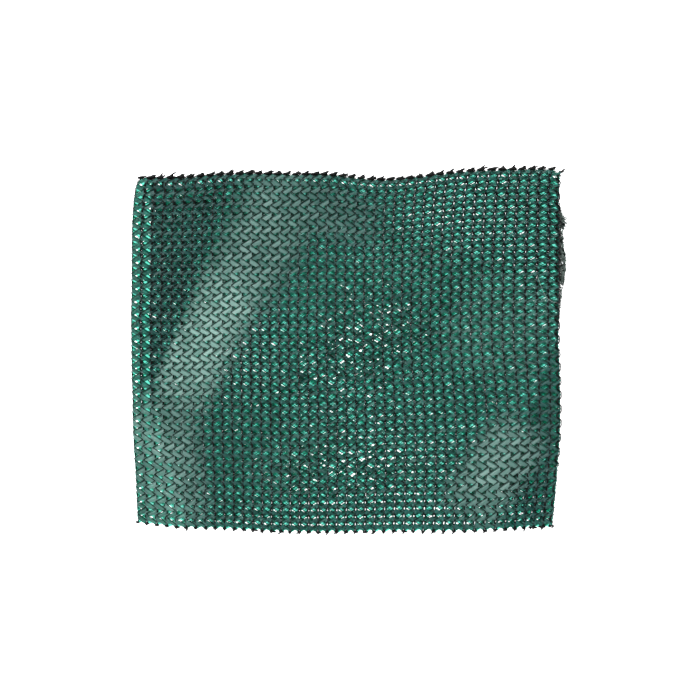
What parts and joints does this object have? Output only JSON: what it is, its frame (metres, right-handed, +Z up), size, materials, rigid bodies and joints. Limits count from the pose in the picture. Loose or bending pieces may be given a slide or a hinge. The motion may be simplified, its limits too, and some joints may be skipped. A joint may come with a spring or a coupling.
{
  "type": "shade cloth",
  "caption": "Cut length of dark green knitted shade net, folded back and forth into a small flat piece with its skew cut ends turned in.",
  "frame": {"origin": "middle of the folded piece's outline, on the surface it lies on", "axes": "+Z up, away from the surface; +X across the folds, from the left fold towards the right one; +Y along the folds and the knitted columns, towards the picture's upper edge"},
  "size_m": [0.1852, 0.1538, 0.0068],
  "materials": {
    "knit": "satin"
  },
  "bodies": {
    "root": {"shade_cloth": "knit"}
  },
  "joints": []
}
